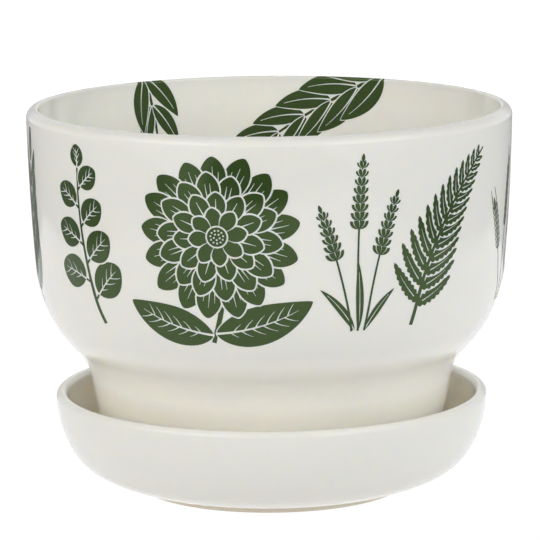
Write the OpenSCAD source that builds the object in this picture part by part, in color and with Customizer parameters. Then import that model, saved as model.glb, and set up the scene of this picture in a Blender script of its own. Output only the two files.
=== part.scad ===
// Glazed ceramic flower pot standing in its own saucer.
// Millimetres, +Z up. The origin is on the table, at the middle of the saucer's foot ring.
// Leans are in degrees from upright, and positive where the surface turns under towards the axis.

/* [Pot] */
// Outer diameter of the pot at its rim
rim_d = 145; // [125:1:170]
// Height of the pot by itself
pot_h = 108; // [95:1:130]
// Thickness of the pot's wall
pot_wall = 3.6; // [2.8:0.2:6]
// Rounding of the rim's inner edge; its outer edge takes up the rest of the wall
rim_edge_r = 0.8; // [0.4:0.1:1.3]
// Lean of the wall just under the rim
rim_lean = 1; // [0:0.5:2.5]
// Lean of the wall where the shoulder begins
belly_lean = 4.5; // [3.5:0.5:8]
// Radius of the shoulder that turns the wall under
shoulder_r = 38; // [25:1:50]
// Steepest lean, where the shoulder meets the waist
undercut = 45; // [35:1:55]
// Radius of the hollow waist above the foot
waist_r = 18; // [10:1:26]

/* [Pot foot] */
// Height of the straight foot under the waist
foot_h = 26.5; // [20:0.5:32]
// Lean of the foot's side
foot_lean = 10.5; // [5:0.5:15]
// Thickness of the pot's floor
pot_floor = 4.5; // [3:0.5:8]
// Radius of the round corner between floor and wall inside
floor_fillet = 6; // [3:0.5:10]
// Depth of the hollow under the pot, inside its foot ring
pot_hollow = 2.5; // [1.5:0.5:4]
// Width of the pot's foot ring
pot_ring_w = 6; // [4:0.5:10]
// Rounding of the edges that the pot stands on
pot_toe_r = 1.4; // [0.6:0.2:1.8]

/* [Drainage] */
// Diameter of the drain hole
drain_d = 12; // [8:0.5:20]
// Number of notches that let water out through the foot ring
notch_count = 3; // [2:1:6]
// Width of a notch
notch_w = 7; // [4:0.5:12]
// Height of a notch
notch_h = 1.6; // [0.8:0.2:2.4]

/* [Saucer] */
// Height of the saucer's rim above the table
saucer_h = 29.6; // [26:0.2:36]
// Thickness of the saucer's wall
saucer_wall = 3.5; // [2.6:0.1:4.4]
// Lean of the saucer's side just under its rim
saucer_rim_lean = 2.5; // [0:0.5:8]
// Lean where the side goes over into the corner
side_lean = 27.5; // [20:0.5:35]
// Radius of the saucer's corner
corner_r = 17.5; // [14:0.5:20]
// Lean where the corner goes over into the underside
corner_lean = 64; // [58:1:66]
// Radius of the underside between corner and foot ring
under_r = 47.5; // [40:0.5:60]
// Lean of the underside where it meets the foot ring
under_lean = 80; // [77:1:84]

/* [Saucer seat] */
// Height of the flat seat above the table
seat_h = 7.5; // [7:0.25:8.5]
// Gap all round between the pot's standing edge and the end of the flat seat
seat_gap = 1; // [0.5:0.1:2]
// Height of the saucer's foot ring below the glazed side
saucer_ring_h = 1.4; // [1:0.1:2]
// Width of the saucer's foot ring
saucer_ring_w = 4.5; // [3:0.5:7]
// Depth of the hollow under the saucer, inside its foot ring
saucer_hollow = 3.5; // [2.5:0.25:4]
// Rounding of the edges that the saucer stands on
saucer_toe_r = 0.8; // [0.3:0.1:1]

/* [Hidden] */

$fn = 180;
chord_gap = 0.008;  // how far a stretch of an arc may lie inside its true circle
cut_over = 1;       // how far a cut runs past the surface it opens

// Direction that a surface with lean a faces
function facing(a) = [cos(a), -sin(a)];

// Points round centre c from lean a0 to lean a1. A negative radius is a hollow arc.
function arc(c, r, a0, a1) =
    let (step = 2 * acos(1 - chord_gap / abs(r)), n = max(2, ceil(abs(a1 - a0) / step)))
    [for (i = [0:n]) c + r * facing(a0 + (a1 - a0) * i / n)];

function reversed(list) = [for (i = [len(list) - 1:-1:0]) list[i]];

// Radius left for a lip's outer edge, on a wall t thick whose inner edge is rounded by r
function outer_edge_r(t, r, lean) = (t - r * (1 - sin(lean))) / (1 + sin(lean));

// Lip from its inner side over the crest to its outer side
function lip(crest, inner_r, outer_r, lean) = concat(
    arc(crest - [0, inner_r], inner_r, 180 + lean, 270),
    arc(crest - [0, outer_r], outer_r, 270, 360 + lean));

// Pot: heights are above the pot's own standing face
rim_round_r = outer_edge_r(pot_wall, rim_edge_r, rim_lean);
pot_crest = [rim_d / 2 - rim_round_r, pot_h];
pot_top = pot_crest - [0, rim_round_r] + rim_round_r * facing(rim_lean);
wall_drop = pot_top[1] - foot_h - waist_r * (sin(undercut) - sin(foot_lean))
    - shoulder_r * (sin(undercut) - sin(belly_lean));
wall_r = wall_drop / (sin(belly_lean) - sin(rim_lean));
wall_c = pot_top - wall_r * facing(rim_lean);
shoulder_c = wall_c + (wall_r - shoulder_r) * facing(belly_lean);
waist_c = shoulder_c + (shoulder_r + waist_r) * facing(undercut);

// Radius of the foot's side at height z, t inside its outer surface
function foot_r(z, t = 0) =
    waist_c[0] - waist_r * cos(foot_lean) - (foot_h - z) * tan(foot_lean) - t / cos(foot_lean);

toe_c = [foot_r(pot_toe_r, pot_toe_r), pot_toe_r];
pot_ring_in = foot_r(0) - pot_ring_w;
floor_top = pot_hollow + pot_floor;
fillet_c = [foot_r(floor_top + floor_fillet, pot_wall + floor_fillet), floor_top + floor_fillet];

// Wall, shoulder and waist, t inside the outer surface
function pot_side(t) = concat(
    arc(wall_c, wall_r - t, rim_lean, belly_lean),
    arc(shoulder_c, shoulder_r - t, belly_lean, undercut),
    arc(waist_c, -waist_r - t, undercut, foot_lean));

pot_profile = concat(
    lip(pot_crest, rim_edge_r, rim_round_r, rim_lean),
    pot_side(0),
    arc(toe_c, pot_toe_r, foot_lean, 90),
    arc([pot_ring_in + pot_toe_r, pot_toe_r], pot_toe_r, 90, 180),
    [[pot_ring_in, pot_hollow], [drain_d / 2, pot_hollow], [drain_d / 2, floor_top]],
    arc(fillet_c, floor_fillet, 90, foot_lean),
    reversed(pot_side(pot_wall)));

// Saucer: its seat reaches seat_gap past the flat that the pot stands on, and its side rises from there
seat_r = toe_c[0] + seat_gap;
under_z = saucer_ring_h + under_r * sin(under_lean);
seat_lean = asin((under_z - seat_h) / (under_r - saucer_wall));
under_c = [seat_r - (under_r - saucer_wall) * cos(seat_lean), under_z];
corner_c = under_c + (under_r - corner_r) * facing(corner_lean);
side_foot = corner_c + corner_r * facing(side_lean);
saucer_edge_r = saucer_wall / 2;
side_rise = saucer_h - saucer_edge_r * (1 + sin(saucer_rim_lean)) - side_foot[1];
side_r = side_rise / (sin(side_lean) - sin(saucer_rim_lean));
side_c = side_foot - side_r * facing(side_lean);
saucer_crest = side_c + (side_r - saucer_edge_r) * facing(saucer_rim_lean) + [0, saucer_edge_r];
saucer_ring_out = under_c[0] + under_r * cos(under_lean);
saucer_ring_in = saucer_ring_out - saucer_ring_w;

// Side and corner, t inside the outer surface
function saucer_side(t) = concat(
    arc(side_c, side_r - t, saucer_rim_lean, side_lean),
    arc(corner_c, corner_r - t, side_lean, corner_lean));

saucer_profile = concat(
    lip(saucer_crest, saucer_edge_r, saucer_edge_r, saucer_rim_lean),
    saucer_side(0),
    arc(under_c, under_r, corner_lean, under_lean),
    arc([saucer_ring_out - saucer_toe_r, saucer_toe_r], saucer_toe_r, 0, 90),
    arc([saucer_ring_in + saucer_toe_r, saucer_toe_r], saucer_toe_r, 90, 180),
    [[saucer_ring_in, saucer_hollow], [0, saucer_hollow], [0, seat_h]],
    arc(under_c, under_r - saucer_wall, seat_lean, corner_lean),
    reversed(saucer_side(saucer_wall)));

// Round-topped notch across the pot's foot ring, along +X
module drain_notch() {
    length = pot_ring_w + 2 * cut_over;
    translate([pot_ring_in - cut_over, 0, 0])
        rotate([90, 0, 90])
            linear_extrude(height = length)
                intersection() {
                    translate([-notch_w / 2, -cut_over]) square([notch_w, notch_h + cut_over]);
                    translate([0, notch_h - notch_w]) circle(r = notch_w);
                }
}

module pot() {
    color("ivory")
        translate([0, 0, seat_h])
            difference() {
                rotate_extrude() polygon(pot_profile);
                for (i = [0:notch_count - 1]) rotate([0, 0, i * 360 / notch_count]) drain_notch();
            }
}

module saucer() {
    color("linen") rotate_extrude() polygon(saucer_profile);
}

saucer();
pot();
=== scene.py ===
from cmath import rect
from math import asin, ceil, cos, degrees, log, pi, radians, sin, tan
import random

import bmesh
import bpy
from mathutils import Matrix, Vector
from mathutils.geometry import delaunay_2d_cdt


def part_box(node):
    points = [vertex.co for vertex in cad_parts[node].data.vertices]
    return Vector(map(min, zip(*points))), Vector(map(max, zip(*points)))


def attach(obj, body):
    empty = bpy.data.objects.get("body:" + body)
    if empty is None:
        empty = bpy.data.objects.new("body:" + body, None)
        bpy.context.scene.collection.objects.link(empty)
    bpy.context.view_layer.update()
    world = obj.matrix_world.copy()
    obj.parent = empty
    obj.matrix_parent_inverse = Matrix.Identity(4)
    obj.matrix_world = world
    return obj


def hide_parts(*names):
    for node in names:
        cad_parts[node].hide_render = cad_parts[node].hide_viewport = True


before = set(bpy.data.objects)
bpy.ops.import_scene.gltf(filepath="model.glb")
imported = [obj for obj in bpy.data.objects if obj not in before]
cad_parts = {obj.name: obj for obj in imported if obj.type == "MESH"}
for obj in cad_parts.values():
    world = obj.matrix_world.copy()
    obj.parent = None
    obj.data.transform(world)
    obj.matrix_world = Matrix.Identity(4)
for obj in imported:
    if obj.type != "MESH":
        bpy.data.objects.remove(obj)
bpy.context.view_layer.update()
mm = 0.001
potLow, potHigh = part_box("pot")
saucerLow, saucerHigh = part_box("saucer")


# Camera, matched to both rim ellipses of the photograph. Pixels are in its 540 x 540 frame
view = {
    "distance": 1078.7 * mm,
    "elevation": 10.651,
    "aimHeight": 55 * mm,
    "pixelsPerMetre": 3315,
    "aimPixel": (270.48, 303.3),
    "roll": 0.478,
    "imageSize": 540,
    "sensorWidth": 36,
    "clipStart": 10 * mm,
}


def placeCamera():
    focal = view["pixelsPerMetre"] * view["distance"]
    camera = bpy.data.cameras.new("camera")
    camera.sensor_width = view["sensorWidth"]
    camera.lens = focal / view["imageSize"] * camera.sensor_width
    camera.clip_start = view["clipStart"]
    obj = linkObject("camera", camera)
    lift = radians(view["elevation"])
    place = Vector((0, -view["distance"] * cos(lift), view["aimHeight"] + view["distance"] * sin(lift)))
    across = (view["aimPixel"][0] - view["imageSize"] / 2) / focal
    down = (view["aimPixel"][1] - view["imageSize"] / 2) / focal
    turn = Matrix.Rotation(across, 4, "Z") @ Matrix.Rotation(radians(90) - lift + down, 4, "X")
    obj.matrix_world = Matrix.Translation(place) @ turn @ Matrix.Rotation(-radians(view["roll"]), 4, "Z")
    bpy.context.scene.camera = obj


def linkObject(name, data):
    obj = bpy.data.objects.new(name, data)
    bpy.context.scene.collection.objects.link(obj)
    return obj


def meshObject(bm, name, material=None):
    mesh = bpy.data.meshes.new(name)
    bm.to_mesh(mesh)
    bm.free()
    if material:
        mesh.materials.append(material)
    return linkObject(name, mesh)


def newMaterial(name):
    material = bpy.data.materials.new(name)
    material.use_nodes = True
    material.node_tree.nodes.clear()
    return material, material.node_tree


# Adds a node. An input that is given a node or its output is linked to it, and a value is set
def addNode(tree, kind, inputs, **settings):
    node = tree.nodes.new("ShaderNode" + kind)
    for setting, value in settings.items():
        setattr(node, setting, value)
    for name, value in inputs.items():
        if isinstance(value, bpy.types.Node):
            value = value.outputs[0]
        if isinstance(value, bpy.types.NodeSocket):
            tree.links.new(value, node.inputs[name])
        else:
            node.inputs[name].default_value = value
    return node


def combine(tree, operation, first, second):
    return addNode(tree, "Math", {0: first, 1: second}, operation=operation)


# One value for the light that a surface gathers, another for rays from the camera, gloss and glass
def mapSeen(tree, gathered, seen):
    path = addNode(tree, "LightPath", {}).outputs
    either = combine(tree, "MAXIMUM", path["Is Camera Ray"], path["Is Glossy Ray"])
    direct = combine(tree, "MAXIMUM", either, path["Is Transmission Ray"])
    return addNode(tree, "MapRange", {"Value": direct, "To Min": gathered, "To Max": seen})


studio = {
    "world": 0.16,
    "floorSize": 6,
    "floorGap": 0.1 * mm,
    "floorWhite": 0.82,
    "floorGlow": 1.13,
    "floorSeen": 0.86,  # share of the glow in what the camera and reflections see
    "floorBounce": 0.22,  # and in the light that surfaces gather from it
    # azimuth from the front, elevation, distance, width, height, radiance, colour,
    # and the height and radiance of the card in its place that reflections see
    "softboxes": {
        "softboxLeft": (-46, 27, 1.3, 1.0, 1.0, 2.75, (1.0, 0.985, 0.92), (0.6, 3.1)),
        "softboxRight": (48, 27, 1.3, 1.0, 1.0, 2.4, (0.98, 1.0, 0.98), (0.6, 2.7)),
        "sideLeft": (-100, 12, 1.3, 1.0, 0.6, 0.85, (1.0, 0.99, 0.97), None),
        "sideRight": (100, 12, 1.3, 1.0, 0.6, 1.5, (1.0, 1.0, 0.98), None),
        "lowFront": (0, 12, 1.6, 1.4, 0.5, 1.0, (0.96, 0.98, 1.0), None),
        "backFill": (180, 24, 1.4, 1.2, 0.8, 2.6, (1.0, 1.0, 1.0), None),
    },
    # cards just above the floor that only reflections see: middle, size, radiance
    "cardGap": 4 * mm,
    "cards": {
        "gapCard": ((0.05, -1.05), (0.62, 1.2), 0.0),
        "brightCardLeft": ((-0.85, -1.05), (1.1, 1.2), 0.9),
        "brightCardRight": ((1.0, -1.05), (1.1, 1.2), 0.75),
        "greyCardBehind": ((0, 1.0), (3.0, 1.4), 0.35),
        "greyCardLeft": ((-0.95, 0.0), (1.2, 0.8), 0.35),
        "greyCardRight": ((0.95, 0.0), (1.2, 0.8), 0.35),
    },
    # standing cards far behind, which the ends of the rims mirror: middle, size, radiance
    "standing": {
        "rimCardLeft": ((-0.55, 2.0, 0.25), (0.7, 0.5), 0.62),
        "rimCardRight": ((0.55, 2.0, 0.25), (0.7, 0.5), 0.6),
    },
}


def makeWorld():
    world = bpy.data.worlds.new("studio")
    world.use_nodes = True
    background = world.node_tree.nodes["Background"]
    background.inputs["Color"].default_value = (1, 1, 1, 1)
    strength = mapSeen(world.node_tree, studio["world"], 1)
    world.node_tree.links.new(strength.outputs[0], background.inputs["Strength"])
    bpy.context.scene.world = world


def makeSheet(name, width, depth, material):
    bm = bmesh.new()
    bmesh.ops.create_grid(bm, x_segments=1, y_segments=1, size=0.5)
    bmesh.ops.scale(bm, vec=(width, depth, 1), verts=bm.verts)
    sheet = meshObject(bm, name, material)
    return sheet


# A glowing sheet that only reflections see
def makeCard(name, width, depth, radiance):
    material, tree = newMaterial(name)
    glow = addNode(tree, "Emission", {"Strength": radiance})
    addNode(tree, "OutputMaterial", {"Surface": glow})
    card = makeSheet(name, width, depth, material)
    card.visible_camera = False
    card.visible_diffuse = False
    card.visible_shadow = False
    return card


def placeSoftboxes():
    for name, softbox in studio["softboxes"].items():
        azimuth, elevation, distance, width, height, radiance, colour, mirrored = softbox
        lamp = bpy.data.lights.new(name, "AREA")
        lamp.color = colour
        lamp.shape = "RECTANGLE"
        lamp.size = width
        lamp.size_y = height
        lamp.energy = radiance * pi * width * height
        obj = linkObject(name, lamp)
        turn, lift = radians(azimuth), radians(elevation)
        away = Vector((sin(turn) * cos(lift), -cos(turn) * cos(lift), sin(lift)))
        place = away * distance + Vector((0, 0, view["aimHeight"]))
        obj.matrix_world = Matrix.Translation(place) @ away.to_track_quat("Z", "Y").to_matrix().to_4x4()
        obj.visible_camera = False
        obj.visible_glossy = False
        if mirrored:
            card = makeCard(name + "Card", width, *mirrored)
            card.matrix_world = obj.matrix_world.copy()


def placeCards():
    for name, (middle, size, radiance) in studio["cards"].items():
        card = makeCard(name, *size, radiance)
        card.location = (*middle, saucerLow.z + studio["cardGap"])
    for name, (middle, size, radiance) in studio["standing"].items():
        card = makeCard(name, *size, radiance)
        card.matrix_world = Matrix.Translation(middle) @ Matrix.Rotation(radians(90), 4, "X")


def makeFloor():
    material, tree = newMaterial("paleFloor")
    white = studio["floorWhite"]
    diffuse = addNode(tree, "BsdfDiffuse", {"Color": (white, white, white, 1)})
    glow = addNode(tree, "Emission", {"Strength": studio["floorGlow"]})
    share = mapSeen(tree, studio["floorBounce"], studio["floorSeen"])
    mix = addNode(tree, "MixShader", {0: share, 1: diffuse, 2: glow})
    addNode(tree, "OutputMaterial", {"Surface": mix})
    floor = makeSheet("floor", studio["floorSize"], studio["floorSize"], material)
    floor.location.z = saucerLow.z - studio["floorGap"]


placeCamera()
makeWorld()
placeSoftboxes()
placeCards()
makeFloor()
print("studio set up")


glazeFinish = {
    "colour": (0.775, 0.768, 0.742, 1),
    "roughness": (0.07, 0.11),
    "ior": 1.5,
    "scatter": (1.0, 0.85, 0.6),
    "scatterDepth": 0.7 * mm,
    "mottleSize": 16 * mm,
    "mottle": 0.16,
    "waveSize": 24 * mm,
    "waveHeight": 0.07 * mm,
    "skinSize": 1.3 * mm,
    "skinHeight": 0.003 * mm,
    "speckSpacing": 5 * mm,
    "speckSize": 0.16 * mm,
    "speckShare": 0.16,
    "speckStrength": 0.4,
    "speckColour": (0.50, 0.43, 0.32, 1),
}
clayFinish = {
    "colour": (0.84, 0.77, 0.65, 1),
    "pale": (0.91, 0.85, 0.74, 1),
    "roughness": 0.78,
    "grainSize": 0.5 * mm,
    "grainHeight": 0.05 * mm,
    "glazeEdge": 0.3 * mm,  # height over which the glaze thins out to bare clay
    "edgeWaveSize": 9 * mm,
}
inkFinish = {
    "dark": (0.026, 0.048, 0.013, 1),
    "thin": (0.036, 0.066, 0.018, 1),
    "sheen": (0.78, 1.0, 0.58, 1),
    "densitySize": 5 * mm,
}


def makeNoise(tree, place, size, detail=2.0):
    return addNode(tree, "TexNoise", {"Vector": place, "Scale": 1 / size, "Detail": detail})


def mapValue(tree, value, fromLow, fromHigh, toLow=0.0, toHigh=1.0):
    ends = {"From Min": fromLow, "From Max": fromHigh, "To Min": toLow, "To Max": toHigh}
    return addNode(tree, "MapRange", {"Value": value, **ends}, interpolation_type="SMOOTHSTEP")


def makeBump(tree, height, distance, below=None):
    surface = {"Normal": below} if below else {}
    return addNode(tree, "Bump", {"Height": height, "Distance": distance, **surface})


def mixColours(tree, share, first, second):
    return addNode(tree, "Mix", {"Factor": share, 6: first, 7: second}, data_type="RGBA").outputs[2]


# Slow waves, a fine skin and an uneven sheen, the same over plain glaze and over print
def glazeSurface(tree, place):
    finish = glazeFinish
    waves = makeNoise(tree, place, finish["waveSize"], 1.0)
    skin = makeNoise(tree, place, finish["skinSize"], 1.0)
    sheen = makeNoise(tree, place, finish["mottleSize"])
    bump = makeBump(tree, waves, finish["waveHeight"])
    return {
        "Normal": makeBump(tree, skin, finish["skinHeight"], bump),
        "Roughness": mapValue(tree, sheen, 0.3, 0.7, *finish["roughness"]),
        "IOR": finish["ior"],
    }


# Specks a few millimetres apart: only some cells of the pattern hold one
def makeSpecks(tree, place):
    finish = glazeFinish
    cells = addNode(tree, "TexVoronoi", {"Vector": place, "Scale": 1 / finish["speckSpacing"]})
    radius = finish["speckSize"] / finish["speckSpacing"]
    near = mapValue(tree, cells.outputs["Distance"], 0.5 * radius, radius, 1.0, 0.0)
    pick = addNode(tree, "SeparateColor", {0: cells.outputs["Color"]})
    some = combine(tree, "LESS_THAN", pick, finish["speckShare"])
    speck = combine(tree, "MULTIPLY", near, some)
    return combine(tree, "MULTIPLY", speck, finish["speckStrength"])


def clayShader(tree, place):
    finish = clayFinish
    grain = makeNoise(tree, place, finish["grainSize"], 4.0)
    return addNode(tree, "BsdfPrincipled", {
        "Base Color": mixColours(tree, grain, finish["colour"], finish["pale"]),
        "Roughness": finish["roughness"],
        "Normal": makeBump(tree, grain, finish["grainHeight"]),
    })


# Painted light: the glaze is lighter inside and below a height on the outside, and in the saucer also
# warmer, to lift the shade that falls there.
# It ends in a slightly wavy line above the ring that the piece stands on
def glazeMaterial(name, paintedLightAndGlazeLine):
    finish = glazeFinish
    material, tree = newMaterial(name)
    place = addNode(tree, "TexCoord", {}).outputs["Object"]
    height = addNode(tree, "SeparateXYZ", {0: place}).outputs["Z"]
    inner = addNode(tree, "Attribute", {}, attribute_name="inner").outputs["Fac"]

    mottle = makeNoise(tree, place, finish["mottleSize"])
    patches = mapValue(tree, mottle, 0.3, 0.7, 1 - finish["mottle"], 1.0)
    # painted light: the recess and inside shares lighten the glaze where shade falls, in uneven patches
    recessPaintedLight = mapValue(tree, height, paintedLightAndGlazeLine["top"], paintedLightAndGlazeLine["bottom"])
    recessPaintedLight = combine(tree, "MULTIPLY", recessPaintedLight, patches)
    inside = combine(tree, "MULTIPLY", inner, patches)
    colour = mixColours(tree, recessPaintedLight, finish["colour"], paintedLightAndGlazeLine["recessPaintedLight"])
    colour = mixColours(tree, inside, colour, paintedLightAndGlazeLine["inside"])
    colour = mixColours(tree, makeSpecks(tree, place), colour, finish["speckColour"])
    glaze = addNode(tree, "BsdfPrincipled", {
        "Base Color": colour,
        "Subsurface Weight": 1,
        "Subsurface Radius": finish["scatter"],
        "Subsurface Scale": finish["scatterDepth"],
        **glazeSurface(tree, place),
    })

    edge = clayFinish["glazeEdge"]
    wander = makeNoise(tree, place, clayFinish["edgeWaveSize"], 3.0)
    wander = mapValue(tree, wander, 0.2, 0.8, -edge, edge)
    line = combine(tree, "ADD", height, wander)
    bare = mapValue(tree, line, paintedLightAndGlazeLine["glazeLine"] - edge / 2, paintedLightAndGlazeLine["glazeLine"] + edge / 2, 1.0, 0.0)
    finished = addNode(tree, "MixShader", {0: bare, 1: glaze, 2: clayShader(tree, place)})
    addNode(tree, "OutputMaterial", {"Surface": finished})
    return material


def inkMaterial():
    finish = inkFinish
    material, tree = newMaterial("greenInk")
    place = addNode(tree, "TexCoord", {}).outputs["Object"]
    density = makeNoise(tree, place, finish["densitySize"], 4.0)
    shader = addNode(tree, "BsdfPrincipled", {
        "Base Color": mixColours(tree, density, finish["dark"], finish["thin"]),
        "Specular Tint": finish["sheen"],
        **glazeSurface(tree, place),
    })
    addNode(tree, "OutputMaterial", {"Surface": shader})
    return material


wheel = {
    "wedges": 8,
    "stepsPerWedge": 36,
    "sagitta": 0.006 * mm,  # how far an arc's straight steps may stand off the true curve
    "mostTurn": 10,  # degrees in one step
    "profileWeld": 0.0001 * mm,
    "seamWeld": 0.001 * mm,
    "sharpAngle": 40,
}


# Leans are degrees from upright, and a wall with a positive lean turns under, towards the axis
def facing(lean):
    return Vector((cos(radians(lean)), 0, -sin(radians(lean))))


# Half of a turned shape's section, drawn stroke by stroke and then turned on the wheel
class Profile:
    def __init__(self, start):
        self.bm = bmesh.new()
        self.vert = self.bm.verts.new(start)

    def arc(self, centre, fromLean, toLean):
        radius = (self.vert.co - centre).length
        sweep = radians(toLean - fromLean)
        chord = (8 * radius * wheel["sagitta"]) ** 0.5
        steps = max(2, ceil(radius * abs(sweep) / chord), ceil(abs(toLean - fromLean) / wheel["mostTurn"]))
        arc = bmesh.ops.spin(self.bm, geom=[self.vert], cent=centre, axis=(0, 1, 0),
                             angle=sweep, steps=steps)
        self.vert = next(item for item in arc["geom_last"] if isinstance(item, bmesh.types.BMVert))

    def line(self, x, z):
        self.vert = bmesh.ops.extrude_vert_indiv(self.bm, verts=[self.vert])["verts"][0]
        self.vert.co = (x, 0, z)

    # The inner side of a foot ring, from its underside up to the ceiling of the hollow
    def ringInside(self, ringIn, base, hollowTop, toe, soft):
        self.line(ringIn + toe, base)
        self.arc(Vector((ringIn + toe, 0, base + toe)), 90, 180)
        self.line(ringIn, hollowTop - soft)
        self.arc(Vector((ringIn - soft, 0, hollowTop - soft)), 0, -90)

    # One fine wedge is turned first, and then repeated all the way round
    def turn(self, name, material):
        bm = self.bm
        bmesh.ops.remove_doubles(bm, verts=bm.verts, dist=wheel["profileWeld"])
        wedge = 2 * pi / wheel["wedges"]
        bmesh.ops.spin(bm, geom=bm.verts[:] + bm.edges[:], cent=(0, 0, 0), axis=(0, 0, 1),
                       angle=wedge, steps=wheel["stepsPerWedge"])
        more = wheel["wedges"] - 1
        bmesh.ops.spin(bm, geom=bm.verts[:] + bm.edges[:] + bm.faces[:], cent=(0, 0, 0), axis=(0, 0, 1),
                       angle=wedge * more, steps=more, use_duplicate=True)
        bmesh.ops.remove_doubles(bm, verts=bm.verts, dist=wheel["seamWeld"])
        bmesh.ops.recalc_face_normals(bm, faces=bm.faces)
        return meshObject(bm, name, material)


potShape = {
    "wall": 3.6 * mm,
    "rimEdge": 0.8 * mm,  # rounding of the rim's inner edge, the outer edge takes up the rest
    "rimLean": 1,
    "bellyLean": 4.5,
    "shoulder": 38 * mm,
    "undercut": 45,
    "waist": 18 * mm,
    "footHeight": 26.5 * mm,
    "footLean": 10.5,
    "floor": 4.5 * mm,
    "fillet": 6 * mm,
    "hollow": 2.5 * mm,
    "ringWidth": 6 * mm,
    "toe": 1.4 * mm,
    "drain": 6 * mm,
    "softEdge": 0.9 * mm,
    "notches": 3,
    "notchWidth": 7 * mm,
    "notchHeight": 1.6 * mm,
    "notchRounding": 0.8,  # as a share of the height
}


# The crest of the rim, and the rounding of its outer edge
def potRim():
    edge = potShape["rimEdge"]
    lean = sin(radians(potShape["rimLean"]))
    rounding = (potShape["wall"] - edge * (1 - lean)) / (1 + lean)
    return Vector((potHigh.x - rounding, 0, potHigh.z)), rounding


# The outer side from the rim down, as arcs: centre, radius, first and last lean.
# A negative radius curves the other way
def potSide():
    shape = potShape
    crest, rounding = potRim()
    top = crest - Vector((0, 0, rounding)) + rounding * facing(shape["rimLean"])
    under = sin(radians(shape["undercut"]))
    belly = sin(radians(shape["bellyLean"]))
    shoulderDrop = shape["shoulder"] * (under - belly)
    waistDrop = shape["waist"] * (under - sin(radians(shape["footLean"])))
    wallDrop = top.z - potLow.z - shape["footHeight"] - waistDrop - shoulderDrop
    wallRadius = wallDrop / (belly - sin(radians(shape["rimLean"])))
    wallCentre = top - wallRadius * facing(shape["rimLean"])
    shoulderCentre = wallCentre + (wallRadius - shape["shoulder"]) * facing(shape["bellyLean"])
    waistCentre = shoulderCentre + (shape["shoulder"] + shape["waist"]) * facing(shape["undercut"])
    return (
        (wallCentre, wallRadius, shape["rimLean"], shape["bellyLean"]),
        (shoulderCentre, shape["shoulder"], shape["bellyLean"], shape["undercut"]),
        (waistCentre, -shape["waist"], shape["undercut"], shape["footLean"]),
    )


# Distance from the axis to the foot's side at a height, or to a layer at a depth inside that side
def potFoot(height, depth=0):
    lean = radians(potShape["footLean"])
    waistCentre = potSide()[2][0]
    edge = waistCentre.x - potShape["waist"] * cos(lean)
    return edge - (potShape["footHeight"] - height) * tan(lean) - depth / cos(lean)


def makePot(material):
    shape = potShape
    crest, rounding = potRim()
    rimEdge = crest - Vector((0, 0, shape["rimEdge"]))
    side = potSide()
    lean = shape["footLean"]
    base = potLow.z
    toe = shape["toe"]
    soft = shape["softEdge"]
    hollowTop = base + shape["hollow"]
    floorTop = hollowTop + shape["floor"]
    outerToe = Vector((potFoot(toe, toe), 0, base + toe))
    toeStart = outerToe + toe * facing(lean)
    fillet = shape["fillet"]
    filletX = potFoot(floorTop - base + fillet, shape["wall"] + fillet)
    filletEnd = side[2][0] - (shape["waist"] + shape["wall"]) * facing(lean)
    drainX = shape["drain"] + soft
    start = rimEdge - shape["rimEdge"] * facing(shape["rimLean"])

    profile = Profile(start)
    profile.arc(rimEdge, 180 + shape["rimLean"], 270)
    profile.arc(crest - Vector((0, 0, rounding)), 270, 360 + shape["rimLean"])
    for centre, _, first, last in side:
        profile.arc(centre, first, last)
    profile.line(potFoot(2 * shape["notchHeight"]), base + 2 * shape["notchHeight"])
    profile.line(toeStart.x, toeStart.z)
    profile.arc(outerToe, lean, 90)
    profile.ringInside(potFoot(0) - shape["ringWidth"], base, hollowTop, toe, soft)
    profile.line(drainX, hollowTop)
    profile.arc(Vector((drainX, 0, hollowTop + soft)), 90, 180)
    profile.line(shape["drain"], floorTop - soft)
    profile.arc(Vector((drainX, 0, floorTop - soft)), 180, 270)
    profile.line(filletX, floorTop)
    profile.arc(Vector((filletX, 0, floorTop + fillet)), 90, lean)
    profile.line(filletEnd.x, filletEnd.z)
    for centre, _, first, last in reversed(side):
        profile.arc(centre, last, first)
    profile.line(start.x, start.z)
    pot = profile.turn("potBody", material)
    cutNotches(pot)
    return pot


# Rounded channels under the foot ring let water out of the hollow
def cutNotches(pot):
    shape = potShape
    bm = bmesh.new()
    for index in range(shape["notches"]):
        block = bmesh.ops.create_cube(bm, size=1)["verts"]
        size = (3 * shape["ringWidth"], shape["notchWidth"], 2 * shape["notchHeight"])
        bmesh.ops.scale(bm, vec=size, verts=block)
        # the block's two long upper edges, each found once, from the end nearer the axis
        along = [edge for vert in block for edge in vert.link_edges
                 if edge.calc_length() > 2 * shape["ringWidth"] and vert.co.z > 0 and vert.co.x < 0]
        rounding = shape["notchRounding"] * shape["notchHeight"]
        rounded = bmesh.ops.bevel(bm, geom=along, offset=rounding, affect="EDGES",
                                  segments=6, profile=0.5, material=-1)
        part = {vert for vert in block if vert.is_valid}
        part |= {vert for face in rounded["faces"] for vert in face.verts}
        middle = potFoot(0) - shape["ringWidth"] / 2
        bmesh.ops.translate(bm, vec=(middle, 0, potLow.z), verts=list(part))
        turn = Matrix.Rotation(index * 2 * pi / shape["notches"], 3, "Z")
        bmesh.ops.rotate(bm, cent=(0, 0, 0), matrix=turn, verts=list(part))
    cutter = meshObject(bm, "notchCutter")
    cut = pot.modifiers.new("notches", "BOOLEAN")
    cut.object = cutter
    cut.operation = "DIFFERENCE"
    cut.solver = "EXACT"
    finished = bpy.data.meshes.new_from_object(pot.evaluated_get(bpy.context.evaluated_depsgraph_get()))
    pot.modifiers.clear()
    pot.data = finished
    bpy.data.objects.remove(cutter)


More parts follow.
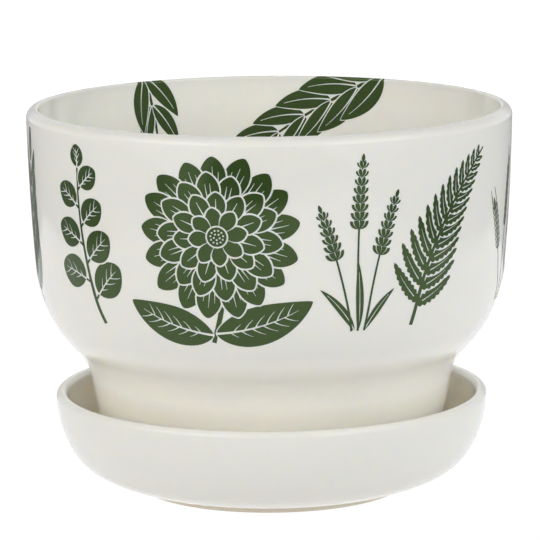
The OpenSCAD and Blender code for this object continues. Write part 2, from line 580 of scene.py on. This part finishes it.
saucerShape = {
    "wall": 3.5 * mm,
    "rimLean": 2.5,
    "sideLean": 27.5,
    "corner": 17.5 * mm,
    "cornerLean": 64,
    "under": 47.5 * mm,
    "underLean": 80,
    "ringHeight": 1.4 * mm,
    "ringWidth": 4.5 * mm,
    "hollow": 3.5 * mm,
    "toe": 0.8 * mm,
    "seatBlend": 5 * mm,
}


def makeSaucer(material):
    shape = saucerShape
    wall = shape["wall"]
    base = saucerLow.z
    lip = Vector((saucerHigh.x - wall / 2, 0, saucerHigh.z - wall / 2))
    underZ = base + shape["ringHeight"] + shape["under"] * sin(radians(shape["underLean"]))
    cornerZ = underZ - (shape["under"] - shape["corner"]) * sin(radians(shape["cornerLean"]))
    sideZ = cornerZ - shape["corner"] * sin(radians(shape["sideLean"]))
    rise = lip.z - wall / 2 * sin(radians(shape["rimLean"])) - sideZ
    sideRadius = rise / (sin(radians(shape["sideLean"])) - sin(radians(shape["rimLean"])))
    sideCentre = lip + (wall / 2 - sideRadius) * facing(shape["rimLean"])
    corner = sideCentre + (sideRadius - shape["corner"]) * facing(shape["sideLean"])
    under = corner + (shape["corner"] - shape["under"]) * facing(shape["cornerLean"])
    ringOut = under.x + shape["under"] * cos(radians(shape["underLean"]))
    toe = shape["toe"]
    hollowTop = base + shape["hollow"]

    # the seat under the pot runs into the side through a shallow hollow arc
    seat = potLow.z
    blend = shape["seatBlend"]
    reach = shape["under"] - wall - blend
    drop = under.z - seat - blend
    blendCentre = Vector((under.x + (reach ** 2 - drop ** 2) ** 0.5, 0, seat + blend))
    blendLean = degrees(asin(drop / reach))

    profile = Profile(lip - wall / 2 * facing(shape["rimLean"]))
    profile.arc(lip, 180, 360)
    profile.arc(sideCentre, shape["rimLean"], shape["sideLean"])
    profile.arc(corner, shape["sideLean"], shape["cornerLean"])
    profile.arc(under, shape["cornerLean"], shape["underLean"])
    profile.line(ringOut, base + toe)
    profile.arc(Vector((ringOut - toe, 0, base + toe)), 0, 90)
    profile.ringInside(ringOut - shape["ringWidth"], base, hollowTop, toe, toe)
    profile.line(0, hollowTop)
    profile.line(0, seat)
    profile.line(blendCentre.x, seat)
    profile.arc(blendCentre, 90, blendLean)
    profile.arc(under, blendLean, shape["cornerLean"])
    profile.arc(corner, shape["cornerLean"], shape["sideLean"])
    profile.arc(sideCentre, shape["sideLean"], shape["rimLean"])
    return profile.turn("saucerBody", material)


# Mask for the painted light in the glaze: 1 on the inner side of a wall and on a floor, 0 on the outer
# side and at the rim
def markInside(mesh, rimHeight, fade):
    inner = mesh.attributes.new("inner", "FLOAT", "POINT")
    for vert, mark in zip(mesh.vertices, inner.data):
        across = Vector((vert.co.x, vert.co.y, 0)).normalized()
        below = (rimHeight - vert.co.z) / fade
        turned = -vert.normal.dot(across) + max(vert.normal.z, 0)
        mark.value = min(max(0.5 + turned, 0), 1) * min(below, 1)


# Painted light in the glaze: lighter tones that lift the shade inside and low on the outside. Outside it
# is full below bottom and gone above top
potPaintedLightAndGlazeLine = {
    "top": 52.5 * mm,
    "bottom": 44 * mm,
    # painted light: lighter than the glaze at the foot and waist and inside the pot, to lift the shade
    # there
    "recessPaintedLight": (0.895, 0.878, 0.825, 1),
    "inside": (0.89, 0.88, 0.835, 1),
    "glazeLine": potLow.z + 0.9 * mm,
    "rimFade": 4 * mm,  # depth under the rim at which the inside's tone is full
}
saucerPaintedLightAndGlazeLine = {
    "top": 16 * mm,
    "bottom": 4 * mm,
    # painted light: a little lighter than the glaze low on the outside, to lift the shade there
    "recessPaintedLight": (0.805, 0.79, 0.745, 1),
    # painted light and painted shade: lighter and warmer inside, standing in for the warm bounced light in
    # the shaded hollow
    "inside": (0.90, 0.838, 0.70, 1),
    "glazeLine": saucerLow.z + 1.95 * mm,
    "rimFade": 5 * mm,
}
turnedPieces = (
    ("pot", makePot, potPaintedLightAndGlazeLine, potHigh.z),
    ("saucer", makeSaucer, saucerPaintedLightAndGlazeLine, saucerHigh.z),
)
for body, make, paintedLightAndGlazeLine, rim in turnedPieces:
    turned = make(glazeMaterial(body + "Glaze", paintedLightAndGlazeLine))
    turned.data.shade_smooth()
    turned.data.set_sharp_from_angle(angle=radians(wheel["sharpAngle"]))
    markInside(turned.data, rim, paintedLightAndGlazeLine["rimFade"])
    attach(turned, body)
    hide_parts(body)
    print(body, "turned,", len(turned.data.polygons), "faces")


# Printed plants. Each is a list of outlines in millimetres, across and up as one complex number.
# A later outline covers an earlier one, with ink or with bare glaze. Headings and bends are degrees
printing = {
    "reach": 71 * mm,  # radius at which a millimetre across is a millimetre of wall
    "thickness": 0.035 * mm,
    "sunk": 0.05 * mm,
    "merge": 0.003 * mm,
    "parting": 0.1,  # how far a touching corner is drawn back, as a share of the way to its cells
    "grid": 2.0,
    "rimGrid": 0.16,  # finer where the inside print runs over the rim's edge
    "gridPast": 0.5,  # millimetres that grid lines run on past the shapes
    "snap": 1e-4,
    "clear": (1.0, 0.25),  # millimetres left clear under the rim, outside and inside
    "clearTop": 40,
}


def towards(length, heading):
    return rect(length, radians(heading))


# Where a bent line has got to after a part of its length, and its heading there
def spotOnArc(start, heading, length, bend, part):
    half = radians(bend * part) / 2
    chord = length * part * (sin(half) / half if half else 1)
    return start + rect(chord, radians(heading) + half), heading + bend * part


# A leaf or petal along a bent line. Waves cut rounded lobes into its edge
def blade(start, heading, length, width, bend=0.0, peak=0.45, fullness=0.8, waves=0, depth=0.0, steps=30):
    bulge = log(0.5) / log(peak)
    right, left = [], []
    for step in range(steps + 1):
        part = (1 - cos(pi * step / steps)) / 2
        spot, along = spotOnArc(start, heading, length, bend, part)
        half = width / 2 * max(sin(pi * part ** bulge), 0) ** fullness
        half *= 1 - depth * abs(cos(pi * waves * part)) ** 3
        right.append(spot + towards(half, along - 90))
        left.append(spot + towards(half, along + 90))
    return right + left[-2:0:-1]


# A pen line that curves through a few points, its width going from first to last
def penLine(points, first, last, steps=7):
    ends = [2 * points[0] - points[1]] + list(points) + [2 * points[-1] - points[-2]]
    path = []
    for a, b, c, d in zip(ends, ends[1:], ends[2:], ends[3:]):
        for step in range(steps):
            t = step / steps
            square = (2 * a - 5 * b + 4 * c - d) * t ** 2
            cube = (3 * b - a - 3 * c + d) * t ** 3
            path.append((2 * b + (c - a) * t + square + cube) / 2)
    path.append(points[-1])
    right, left = [], []
    for index, spot in enumerate(path):
        ahead = path[min(index + 1, len(path) - 1)] - path[max(index - 1, 0)]
        half = (first + (last - first) * index / (len(path) - 1)) / 2
        right.append(spot - ahead / abs(ahead) * 1j * half)
        left.append(spot + ahead / abs(ahead) * 1j * half)
    return right + left[::-1]


def arcLine(start, heading, length, bend, first, last, begin=0.0, end=1.0, steps=10):
    parts = [begin + (end - begin) * step / steps for step in range(steps + 1)]
    return penLine([spotOnArc(start, heading, length, bend, part)[0] for part in parts], first, last, 2)


def disc(centre, radius, sides=18):
    return [centre + rect(radius, 2 * pi * side / sides) for side in range(sides)]


leafLines = {
    "midribTip": 0.16,
    "midribEnd": 0.84,
    # where the veins start along the leaf, and how many steps the left ones are ahead of the right ones
    "veinsFrom": 0.14,
    "veinsSpan": 0.66,
    "veinStagger": 0.3,
    "veinReach": 0.40,
    "veinAngle": 52,
    "veinBend": 26,
    "veinWidths": (0.42, 0.14),
}


class Stencil:
    def __init__(self):
        self.shapes = []

    def ink(self, outline):
        self.shapes.append((outline, True))

    def bare(self, outline):
        self.shapes.append((outline, False))

    # A leaf with a bare rim round it, a midrib and side veins
    def leaf(self, start, heading, length, width, bend=0.0, rim=0.55, veins=0, midrib=0.7, **form):
        lines = leafLines
        back = start - towards(rim * 0.6, heading)
        self.bare(blade(back, heading, length + rim * 1.6, width + 2 * rim, bend, **form))
        self.ink(blade(start, heading, length, width, bend, **form))
        if midrib:
            tip, end = lines["midribTip"], lines["midribEnd"]
            self.bare(arcLine(start, heading, length, bend, midrib, tip, 0.0, end))
        for side in (-1, 1):
            for index in range(veins):
                ahead = index + lines["veinStagger"] * (side > 0)
                part = lines["veinsFrom"] + lines["veinsSpan"] * ahead / veins
                spot, along = spotOnArc(start, heading, length, bend, part)
                reach = width * lines["veinReach"] * max(sin(pi * part), 0.3) ** 0.6
                slant = along + side * lines["veinAngle"]
                self.bare(arcLine(spot, slant, reach, -side * lines["veinBend"], *lines["veinWidths"]))


# Where a length down the pot's side leads to, and the lean there. Outside it starts at the wall's
# top edge, and inside at the rim's crest
def walkDown(down, inside):
    crest = potRim()[0]
    side = potSide()
    rimLean = potShape["rimLean"]
    depth = potShape["wall"] if inside else 0
    if inside:
        edge = potShape["rimEdge"]
        turn = radians(90 - rimLean)
        if down < edge * turn:
            lean = 90 - degrees(down / edge)
            return crest - Vector((0, 0, edge)) - edge * facing(lean), lean
        edgeEnd = crest - Vector((0, 0, edge)) - edge * facing(rimLean)
        wallStart = side[0][0] + (side[0][1] - depth) * facing(rimLean)
        straight = (edgeEnd - wallStart).length
        down -= edge * turn
        if down < straight:
            return edgeEnd.lerp(wallStart, down / straight), rimLean
        down -= straight
    for centre, radius, first, last in side:
        span = abs(radius - depth) * radians(abs(last - first))
        lean = first + (last - first) * down / span
        if down <= span:
            break
        down -= span
    return centre + (radius - depth) * facing(lean), lean


# Wraps a flat spot round the pot: across is along the rim, and up is negative below the start
def spotOnPot(across, up, lift, inside):
    spot, lean = walkDown(-up, inside)
    out = -facing(lean) if inside else facing(lean)
    spot = spot + lift * out
    turn = pi - across / printing["reach"] if inside else across / printing["reach"]
    place = Vector((spot.x * sin(turn), -spot.x * cos(turn), spot.z))
    return place, Vector((out.x * sin(turn), -out.x * cos(turn), out.z))


# Lines that cut the shapes small enough to follow the round wall, as an axis and a place on it
def gridLines(low, high, inside):
    grid = printing["grid"]
    lines = []
    for axis in (0, 1):
        lines += [(axis, index * grid) for index in range(ceil(low[axis] / grid), ceil(high[axis] / grid))]
    if inside:
        rounding = potShape["rimEdge"] / mm * pi / 2
        rows = ceil(rounding / printing["rimGrid"])
        lines += [(1, -rounding * row / rows) for row in range(1, rows + 1)]
    return lines


# The inked cells of a stencil as one flat sheet
def flatInk(stencil, inside):
    points, edges, outlines, inked = [], [], [], []
    for outline, hasInk in stencil.shapes:
        outlines.append(list(range(len(points), len(points) + len(outline))))
        points += [Vector((point.real, point.imag)) for point in outline]
        inked.append(hasInk)
    low = [min(point[axis] for point in points) for axis in (0, 1)]
    high = [max(point[axis] for point in points) for axis in (0, 1)]
    for axis, place in gridLines(low, high, inside):
        for end, past in ((low, -printing["gridPast"]), (high, printing["gridPast"])):
            spot = [end[0] + past, end[1] + past]
            spot[axis] = place
            points.append(Vector(spot))
        edges.append((len(points) - 2, len(points) - 1))
    corners, _, cells, _, _, covers = delaunay_2d_cdt(points, edges, outlines, 1, printing["snap"])

    bm = bmesh.new()
    verts = [bm.verts.new((corner.x * mm, corner.y * mm, -printing["sunk"])) for corner in corners]
    for cell, cover in zip(cells, covers):
        if cover and inked[max(cover)]:
            bm.faces.new([verts[index] for index in cell])
    bmesh.ops.delete(bm, geom=[vert for vert in bm.verts if not vert.link_faces], context="VERTS")
    bmesh.ops.remove_doubles(bm, verts=bm.verts, dist=printing["merge"])
    partCorners(bm)
    return bm


# Corners that only touch are drawn apart, so that each patch of ink is closed by itself
def partCorners(bm):
    for vert in bm.verts[:]:
        rims = [edge for edge in vert.link_edges if edge.is_boundary]
        for corner in bmesh.utils.vert_separate(vert, rims) if len(rims) > 2 else ():
            middle = sum((face.calc_center_median() for face in corner.link_faces), Vector())
            corner.co = corner.co.lerp(middle / len(corner.link_faces), printing["parting"])


# Leaves the rim clear, thickens the sheet and wraps it round the pot
def layPrint(name, stencil, material, inside):
    left = min(point.real for outline, _ in stencil.shapes for point in outline)
    right = max(point.real for outline, _ in stencil.shapes for point in outline)
    bottom = -printing["clear"][inside]
    top = printing["clearTop"]
    stencil.bare([complex(left, bottom), complex(right, bottom), complex(right, top), complex(left, top)])
    bm = flatInk(stencil, inside)
    raised = bmesh.ops.extrude_face_region(bm, geom=bm.faces[:])["geom"]
    thick = printing["thickness"] + printing["sunk"]
    upper = [item for item in raised if isinstance(item, bmesh.types.BMVert)]
    bmesh.ops.translate(bm, vec=(0, 0, thick), verts=upper)
    bmesh.ops.recalc_face_normals(bm, faces=bm.faces)
    bm.normal_update()
    onTop = [face.normal.z > 0.5 for face in bm.faces]
    outward = []
    for vert in bm.verts:
        vert.co, normal = spotOnPot(*vert.co, inside)
        outward.append(normal)
    obj = meshObject(bm, name, material)
    mesh = obj.data
    normals = []
    for polygon, isTop in zip(mesh.polygons, onTop):
        normals += [outward[vertex] if isTop else polygon.normal for vertex in polygon.vertices]
    mesh.shade_smooth()
    mesh.normals_split_custom_set(normals)
    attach(obj, "pot")
    print(name, "printed,", len(mesh.polygons), "faces")


bloom = {
    "centre": -15 - 25.5j,
    "scale": 0.97,
    "turn": 8,
    "stem": (-15 - 30j, -14 - 45j, -17 - 57j),
    "stemWidth": 1.8,
    # start, heading, length, width, bend
    "leaves": ((-17 - 54.5j, 174, 27, 11.5, -28), (-16 - 54j, 5, 30, 12, 28)),
}
smallBloom = {
    "centre": -176 - 22j,
    "scale": 0.72,
    "turn": 0,
    "stem": (-176 - 25j, -175 - 42j, -179 - 54j),
    "stemWidth": 1.5,
    "leaves": ((-178 - 52j, 34, 26, 11, 24), (-178.5 - 53j, 146, 22, 9.5, -26)),
}
flowerHead = {
    "seed": 5,
    # petals in a ring, where they start and end, width, folds
    "rings": (
        (17, 9.0, 24.0, 7.6, 3),
        (14, 6.0, 18.6, 6.6, 2),
        (11, 3.5, 13.4, 5.6, 1),
        (8, 1.5, 8.6, 4.4, 0),
    ),
    "ringTurn": 630,
    "unevenTurn": 2,
    "unevenLength": (0.96, 1.05),
    "unevenBend": 9,
    "petal": {"peak": 0.6, "fullness": 0.62},
    "gap": 0.5,
    "foldSpacing": 0.24,
    "foldFan": 2.6,
    "foldWidths": (0.5, 0.14),
    "foldStart": 0.3,
    "heart": 2.9,
    # rings of dots in the heart: distance, number
    "dotRings": ((0.9, 5), (1.9, 11)),
    "dotTurn": 57,
    "dot": 0.3,
}


# Rings of petals from the outside in, each a little uneven, round a dotted heart
def drawBloom(art, plant):
    head = flowerHead
    draw = random.Random(head["seed"])
    centre = plant["centre"]
    scale = plant["scale"]
    gap = head["gap"]
    art.ink(penLine(plant["stem"], plant["stemWidth"], 0.7 * plant["stemWidth"]))
    for leaf in plant["leaves"]:
        art.leaf(*leaf, veins=6, midrib=0.8, peak=0.42, fullness=0.78)
    for ring, (count, inner, outer, width, folds) in enumerate(head["rings"]):
        for index in range(count):
            uneven = draw.uniform(-head["unevenTurn"], head["unevenTurn"])
            heading = plant["turn"] + 360 * index / count + ring * head["ringTurn"] + uneven
            length = (outer - inner) * draw.uniform(*head["unevenLength"]) * scale
            bend = draw.uniform(-head["unevenBend"], head["unevenBend"])
            start = centre + towards(inner * scale, heading)
            art.bare(blade(start, heading, length + gap, (width + 2 * gap) * scale, bend, **head["petal"]))
            art.ink(blade(start, heading, length, width * scale, bend, **head["petal"]))
            for fold in range(folds):
                aside = (fold - (folds - 1) / 2) * width * head["foldSpacing"] * scale
                foot = start + towards(aside / 2, heading + 90)
                slant = heading + aside * head["foldFan"]
                upTo = 0.8 - abs(aside) * 0.06
                art.bare(arcLine(foot, slant, length, bend, *head["foldWidths"], head["foldStart"], upTo))
    art.bare(disc(centre, (head["heart"] + gap) * scale, 28))
    art.ink(disc(centre, head["heart"] * scale, 28))
    for ring, count in head["dotRings"]:
        for index in range(count):
            heading = 360 * index / count + ring * head["dotTurn"]
            art.bare(disc(centre + towards(ring * scale, heading), head["dot"] * scale, 8))


fern = {
    "stem": (44 - 54j, 82, 58, -44),  # start, heading, length, bend, here and for all plants below
    "stemWidths": (1.3, 0.5),
    "pairs": 13,
    "reach": 17,
    "slant": 62,
    "slantTip": 42,
    "leafletBend": 20,
    "leaflet": {"peak": 0.33, "fullness": 0.6},
    "lobeLength": 1.9,
    "lobeDepth": 0.30,
    "gap": 0.45,
}


# A frond: lobed leaflets in pairs, shorter towards the tip
def drawFern(art, plant):
    gap = plant["gap"]
    for index in range(plant["pairs"]):
        part = 0.12 + 0.86 * (index / plant["pairs"]) ** 0.9
        size = plant["reach"] * (1 - part) ** 0.6 * min(1, 0.7 + 2.0 * part)
        for side in (-1, 1):
            spot, along = spotOnArc(*plant["stem"], part + 0.008 * side)
            slant = along + side * (plant["slant"] - (plant["slant"] - plant["slantTip"]) * part)
            lobes = max(3, round(size / plant["lobeLength"]))
            width = size * 0.20 + 1.1
            form = {"bend": -side * plant["leafletBend"], **plant["leaflet"]}
            edge = {"waves": lobes, "depth": plant["lobeDepth"], "steps": lobes * 6}
            art.bare(blade(spot, slant, size + 0.5, width + 2 * gap, **form))
            art.ink(blade(spot, slant, size, width, **form, **edge))
            art.bare(arcLine(spot, slant, size, form["bend"], 0.34, 0.12, 0.14, 0.7))
    art.ink(arcLine(*plant["stem"], *plant["stemWidths"]))


lavender = {
    # stem, whorls
    "stalks": (((26 - 54j, 94, 50, -9), 8), ((28 - 54j, 84, 40, -14), 7), ((24 - 54j, 101, 37, 9), 6)),
    "stalkWidths": (0.7, 0.45),
    "leaves": ((25 - 54j, 118, 17, 2.4, 24), (28 - 54j, 66, 15, 2.2, -26), (26 - 54j, 88, 21, 2.4, 8)),
    "whorlStep": 2.5,
    # side and slant of a whorl's buds
    "buds": ((-1, 62), (1, 62), (-1, 30), (1, 30)),
    "budLength": 3.6,
    "budTaper": 1.5,
    "budWidth": 0.42,
    "budBend": 24,
    "tip": (2.6, 1.1),
}


# Thin stalks with small buds in pairs round the upper part
def drawLavender(art, plant):
    for leaf in plant["leaves"]:
        art.leaf(*leaf, rim=0.4, midrib=0.35)
    for stem, whorls in plant["stalks"]:
        art.ink(arcLine(*stem, *plant["stalkWidths"]))
        for index in range(whorls):
            part = 1 - plant["whorlStep"] * (whorls - index) / stem[2]
            spot, along = spotOnArc(*stem, part)
            size = plant["budLength"] - plant["budTaper"] * index / whorls
            width = size * plant["budWidth"]
            for side, slant in plant["buds"]:
                lean = along + side * slant
                form = {"bend": -side * plant["budBend"], "peak": 0.55, "fullness": 0.7, "steps": 12}
                art.bare(blade(spot, lean, size + 0.35, width + 0.5, **form))
                art.ink(blade(spot, lean, size, width, **form))
        tip, along = spotOnArc(*stem, 0.98)
        art.ink(blade(tip, along, *plant["tip"], peak=0.5, steps=12))


roundLeaves = {
    "stem": (-54 - 54j, 112, 45, -24),
    "stemWidths": (1.3, 0.5),
    "count": 8,
    "size": 13,
    "wide": 0.86,
    "tipSize": 0.86,
    "stalk": 0.22,
    "leafBend": 14,
    "leaf": {"peak": 0.47, "fullness": 0.56, "veins": 3, "midrib": 0.6},
}


# Broad round leaves on short stalks, by turns left and right
def drawRoundLeaves(art, plant):
    art.ink(arcLine(*plant["stem"], *plant["stemWidths"]))
    for index in range(plant["count"]):
        part = 0.16 + 0.84 * index / (plant["count"] - 1)
        spot, along = spotOnArc(*plant["stem"], part)
        side = 1 if index % 2 else -1
        last = index == plant["count"] - 1
        slant = along if last else along + side * (58 - 14 * part)
        grown = plant["size"] * (1 - 0.42 * part) * (plant["tipSize"] if last else 1)
        foot = spot + towards(grown * plant["stalk"], slant)
        art.ink(penLine((spot, foot), 0.7, 0.6))
        art.leaf(foot, slant, grown, grown * plant["wide"], side * plant["leafBend"], **plant["leaf"])


willow = {"stem": (-96 - 54j, 97, 42, -14), "pairs": 5, "size": 19, "wide": 0.29}
hangingLong = {"stem": (44 + 3j, -158, 66, 16), "pairs": 6, "size": 21, "wide": 0.34}
hangingShort = {"stem": (-44 + 4j, -68, 32, -22), "pairs": 3, "size": 18, "wide": 0.32}
willowLeaf = {
    "stemWidths": (1.2, 0.5),
    "slant": 34,
    "bend": 26,
    "stalk": 0.6,
    "form": {"peak": 0.42, "midrib": 0.5, "rim": 0.4},
}


# Long narrow leaves in pairs and one at the tip, each in front of the one above it
def drawWillow(art, plant):
    leaf = willowLeaf
    pairs = plant["pairs"]
    art.ink(arcLine(*plant["stem"], *leaf["stemWidths"]))
    for index in range(pairs, -1, -1):
        spot, along = spotOnArc(*plant["stem"], 0.08 + 0.92 * index / pairs)
        grown = plant["size"] * (1 - 0.35 * index / pairs)
        for side in (0,) if index == pairs else (-1, 1):
            slant = along + side * leaf["slant"]
            foot = spot + towards(leaf["stalk"], slant)
            art.leaf(foot, slant, grown, grown * plant["wide"], -side * leaf["bend"], **leaf["form"])


berries = {
    "stem": (-136 - 54j, 78, 41, 24),
    "stemWidths": (0.9, 0.4),
    "count": 8,
    "size": 6.2,
    "slant": 50,
    "stalkBend": 17,
    "stalkWidths": (0.42, 0.36),
    "gap": 0.35,
    "leavesAt": (1, 4),
    "leafSlant": 44,
    "leafBend": 24,
}


# Round berries with a bare glint, on thin curved stalks, and two leaves
def drawBerries(art, plant):
    size = plant["size"]
    art.ink(arcLine(*plant["stem"], *plant["stemWidths"]))
    for index in range(plant["count"]):
        part = 0.22 + 0.78 * index / (plant["count"] - 1)
        spot, along = spotOnArc(*plant["stem"], part)
        side = 1 if index % 2 else -1
        slant = along if index == plant["count"] - 1 else along + side * plant["slant"]
        stalk = (spot, slant, size * (1.5 - 0.6 * part), -side * plant["stalkBend"])
        art.ink(arcLine(*stalk, *plant["stalkWidths"]))
        tip, lean = spotOnArc(*stalk, 1)
        grown = size * (1 - 0.25 * part) / 2
        ball = tip + towards(grown * 0.9, lean)
        art.bare(disc(ball, grown + plant["gap"], 24))
        art.ink(disc(ball, grown, 28))
        art.bare(blade(ball + towards(grown * 0.55, 150), 60, grown * 0.7, grown * 0.28, steps=10))
        if index in plant["leavesAt"]:
            away = along - side * plant["leafSlant"]
            art.leaf(spot, away, size * 2.6, size * 0.95, side * plant["leafBend"], veins=3)


bellflowers = {
    # stem, bells, size
    "stalks": (((213 - 54j, 99, 50, -18), 5, 10.5), ((218 - 54j, 62, 34, -10), 3, 9)),
    "stalkWidths": (1.1, 0.5),
    "leaves": ((212 - 54j, 140, 17, 4.4, -24), (220 - 54j, 34, 18, 4.4, 22)),
    "bellStalk": (40, 110),  # slant and bend
    "bellStalkWidths": (0.5, 0.4),
}
bell = {
    "crown": 0.30,
    "flare": 0.14,
    "scallops": 3,
    "scallop": 0.14,
    "gapScale": 1.1,
    "sepals": (-56, 0, 56),
}


# A bell that hangs from its top, with a scalloped mouth, two folds and three sepals
def drawBell(art, top, heading, size):
    ahead = towards(size, heading)
    right, left = [], []
    for step in range(1, 17):
        part = step / 16
        half = bell["crown"] * sin(min(2.2 * part, pi / 2)) + bell["flare"] * part ** 5
        aside = towards(size * half, heading + 90)
        right.append(top + ahead * part - aside)
        left.append(top + ahead * part + aside)
    mouth = []
    for step in range(1, 24):
        part = step / 24
        deeper = bell["scallop"] * abs(sin(bell["scallops"] * pi * part))
        mouth.append(right[-1] + (left[-1] - right[-1]) * part + ahead * deeper)
    outline = [top] + right + mouth + left[::-1]
    middle = top + ahead * 0.55
    art.bare([middle + (spot - middle) * bell["gapScale"] for spot in outline])
    art.ink(outline)
    for side in (-1, 1):
        art.bare(arcLine(top + ahead * 0.12, heading + side * 13, size * 0.86, -side * 8, 0.32, 0.4))
    for slant in bell["sepals"]:
        art.ink(blade(top - ahead * 0.08, heading + slant, size * 0.34, size * 0.13, steps=8))


def drawBellflowers(art, plant):
    for leaf in plant["leaves"]:
        art.leaf(*leaf, midrib=0.5)
    for stem, count, size in plant["stalks"]:
        art.ink(arcLine(*stem, *plant["stalkWidths"]))
        for index in range(count):
            part = 0.42 + 0.58 * index / (count - 1)
            spot, along = spotOnArc(*stem, part)
            side = -1 if index % 2 else 1
            slant, bend = plant["bellStalk"]
            stalk = (spot, along + side * slant, size * (0.8 - 0.3 * part), side * bend)
            art.ink(arcLine(*stalk, *plant["bellStalkWidths"]))
            drawBell(art, spotOnArc(*stalk, 1)[0], -90 - side * 10, size * (1.1 - 0.35 * part))


tulips = {
    # stem, size
    "stalks": (
        ((172 - 54j, 84, 30, 12), 18),
        ((170 - 54j, 112, 20, 22), 14),
        ((174 - 54j, 64, 17, -22), 12),
    ),
    "stalkWidths": (1.2, 0.8),
    "leaves": ((171 - 54j, 128, 26, 5, -30), (173 - 54j, 52, 24, 5, 28)),
    # pairs of outer petals: spread, width as a share of the length, how far they turn back in
    "petalPairs": ((36, 0.40, 40), (19, 0.44, 26)),
    "outerPetal": {"peak": 0.43, "fullness": 0.68, "midrib": 0, "rim": 0.5},
    "frontPetal": {"peak": 0.46, "fullness": 0.66, "midrib": 0.5, "rim": 0.5},
}


# Cup flowers: outer petals behind, one whole petal in front
def drawTulips(art, plant):
    for leaf in plant["leaves"]:
        art.leaf(*leaf, midrib=0.6)
    for stem, size in plant["stalks"]:
        art.ink(arcLine(*stem, *plant["stalkWidths"]))
        foot, along = spotOnArc(*stem, 0.99)
        for spread, wide, turn in plant["petalPairs"]:
            for side in (-1, 1):
                slant = along + side * spread
                art.leaf(foot, slant, size, size * wide, -side * turn, **plant["outerPetal"])
        art.leaf(foot, along, size * 0.9, size * 0.38, **plant["frontPetal"])


fanLeaves = {
    # stalk, size
    "stalks": (
        ((125 - 54j, 104, 27, -26), 20),
        ((127 - 54j, 66, 13, -20), 13),
        ((123 - 54j, 140, 9, 10), 10),
    ),
    "stalkWidths": (0.8, 0.6),
    "spread": 112,
    "cleftDepth": 0.42,
    "cleftWidth": 0.055,
    # waves in the edge: height, and radians from one end of the edge to the other
    "waves": ((0.035, 27), (0.02, 61)),
    "folds": 13,
    "foldWidths": (0.26, 0.14),
}


# Fan leaves: the edge runs in and out along an arc, with a cleft in the middle
def drawFanLeaves(art, plant):
    spread = plant["spread"]
    for stalk, size in plant["stalks"]:
        art.ink(arcLine(*stalk, *plant["stalkWidths"]))
        foot, along = spotOnArc(*stalk, 0.99)
        outline = [foot]
        for step in range(65):
            part = step / 64
            cleft = plant["cleftDepth"] * max(0, 1 - abs(part - 0.5) / plant["cleftWidth"])
            wave = sum(height * sin(part * span) for height, span in plant["waves"])
            reach = size * (0.80 + 0.20 * sin(pi * part) ** 0.5) * (1 + wave) * (1 - cleft)
            outline.append(foot + towards(reach, along + spread * (part - 0.5)))
        art.ink(outline)
        for index in range(plant["folds"]):
            share = (index - 6) / 6.5
            slant = along + spread * share * 0.47 - share * 5.7
            short = 0.05 * (index % 2)
            fold = (foot, slant, size * (0.86 - short), share * 11.5)
            art.bare(arcLine(*fold, *plant["foldWidths"], 0.34 - 2 * short, 0.96))


wheat = {
    "stalks": ((94 - 54j, 92, 40, -12), (96 - 54j, 78, 34, -15), (92 - 54j, 101, 31, 13)),
    "stalkWidths": (0.6, 0.4),
    "grains": 7,
    "grain": 4.2,
    "grainWidth": 1.6,
    "gap": 0.3,
    "grainSlant": 24,
    "grainBend": 22,
    "beard": 5.0,
    "beardWidths": (0.32, 0.2),
}


# Thin stalks, hollow grains in pairs and a beard on each grain
def drawWheat(art, plant):
    grain = plant["grain"]
    width = plant["grainWidth"]
    for stem in plant["stalks"]:
        art.ink(arcLine(*stem, *plant["stalkWidths"]))
        for index in range(plant["grains"]):
            spot, along = spotOnArc(*stem, 0.56 + 0.42 * index / plant["grains"])
            for side in (-1, 1):
                slant = along + side * plant["grainSlant"]
                bend = -side * plant["grainBend"]
                seat = spot + towards(0.55, along + side * 90)
                art.bare(blade(seat, slant, grain + 0.4, width + 2 * plant["gap"], bend, steps=12))
                art.ink(blade(seat, slant, grain, width, bend, steps=12))
                art.bare(blade(seat + towards(0.6, slant), slant, grain - 1.4, 0.5, -side * 14, steps=10))
                tip, lean = spotOnArc(seat, slant, grain, bend, 0.98)
                art.ink(arcLine(tip, lean, plant["beard"], -side * 8, *plant["beardWidths"]))
        tip, along = spotOnArc(*stem, 0.98)
        art.ink(blade(tip, along, grain, 1.5, steps=12))


ink = inkMaterial()
# what draws a plant, the plant, and whether it hangs inside the rim
plants = {
    "printBloom": (drawBloom, bloom, False),
    "printFern": (drawFern, fern, False),
    "printLavender": (drawLavender, lavender, False),
    "printRoundLeaves": (drawRoundLeaves, roundLeaves, False),
    "printWillow": (drawWillow, willow, False),
    "printBerries": (drawBerries, berries, False),
    "printSmallBloom": (drawBloom, smallBloom, False),
    "printBellflowers": (drawBellflowers, bellflowers, False),
    "printTulips": (drawTulips, tulips, False),
    "printFanLeaves": (drawFanLeaves, fanLeaves, False),
    "printWheat": (drawWheat, wheat, False),
    "printHangingLong": (drawWillow, hangingLong, True),
    "printHangingShort": (drawWillow, hangingShort, True),
}
for name, (drawPlant, plant, inside) in plants.items():
    art = Stencil()
    drawPlant(art, plant)
    layPrint(name, art, ink, inside)

bpy.context.scene.view_settings.view_transform = "Standard"
